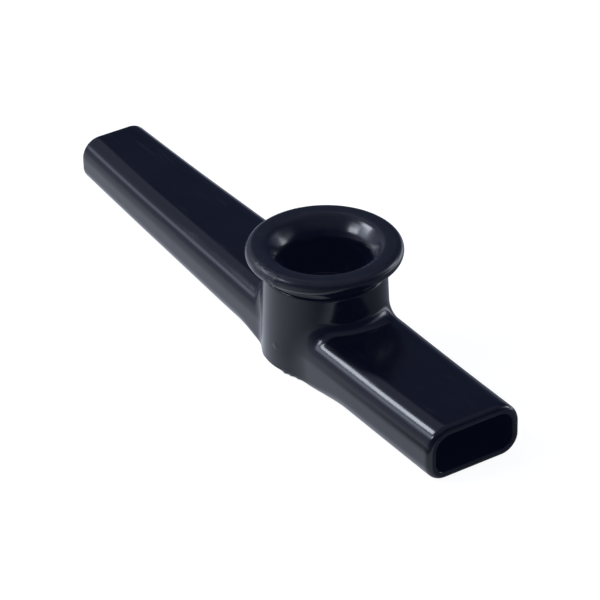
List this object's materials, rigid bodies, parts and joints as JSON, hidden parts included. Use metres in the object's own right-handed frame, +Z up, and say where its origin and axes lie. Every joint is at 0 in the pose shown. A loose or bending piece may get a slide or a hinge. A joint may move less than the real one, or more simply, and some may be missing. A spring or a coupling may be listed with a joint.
{
  "type": "kazoo",
  "caption": "Moulded kazoo: a flattened tapering tube with a round turret, a flared snap-in cap and a film resonator dropped in under it.",
  "frame": {"origin": "on the turret's vertical axis, at the flat underside", "axes": "+X along the tube towards the wide mouth end, +Z up the turret towards the cap's lip, +Y across the tube"},
  "size_m": [0.121, 0.0284, 0.0223],
  "materials": {
    "gloss_black_plastic": "moulded gloss black with a faint blue cast, slightly rippled by moulding",
    "carrier_ring_plastic": "satin moulded plastic",
    "resonator_film": "thin translucent stretched film, slightly creased"
  },
  "bodies": {
    "tube": {"body": "gloss_black_plastic"},
    "cap": {"turret_cap": "gloss_black_plastic"},
    "resonator": {"membrane_ring": "carrier_ring_plastic"},
    "film": {"membrane": "resonator_film"}
  },
  "joints": [
    {"name": "cap_lift", "type": "slide", "parent": "tube", "child": "cap", "axis": [0, 0, 1], "range_m": [0, 0.024]},
    {"name": "resonator_lift", "type": "slide", "parent": "tube", "child": "resonator", "axis": [0, 0, 1], "range_m": [0, 0.012]},
    {"name": "membrane_buzz", "type": "slide", "parent": "resonator", "child": "film", "axis": [0, 0, 1], "range_m": [-0.0002, 0.0002], "stiffness_N_per_m": 10}
  ],
  "couplings": [
    {"joint": "resonator_lift", "follows": "cap_lift", "ratio": 0.5}
  ]
}
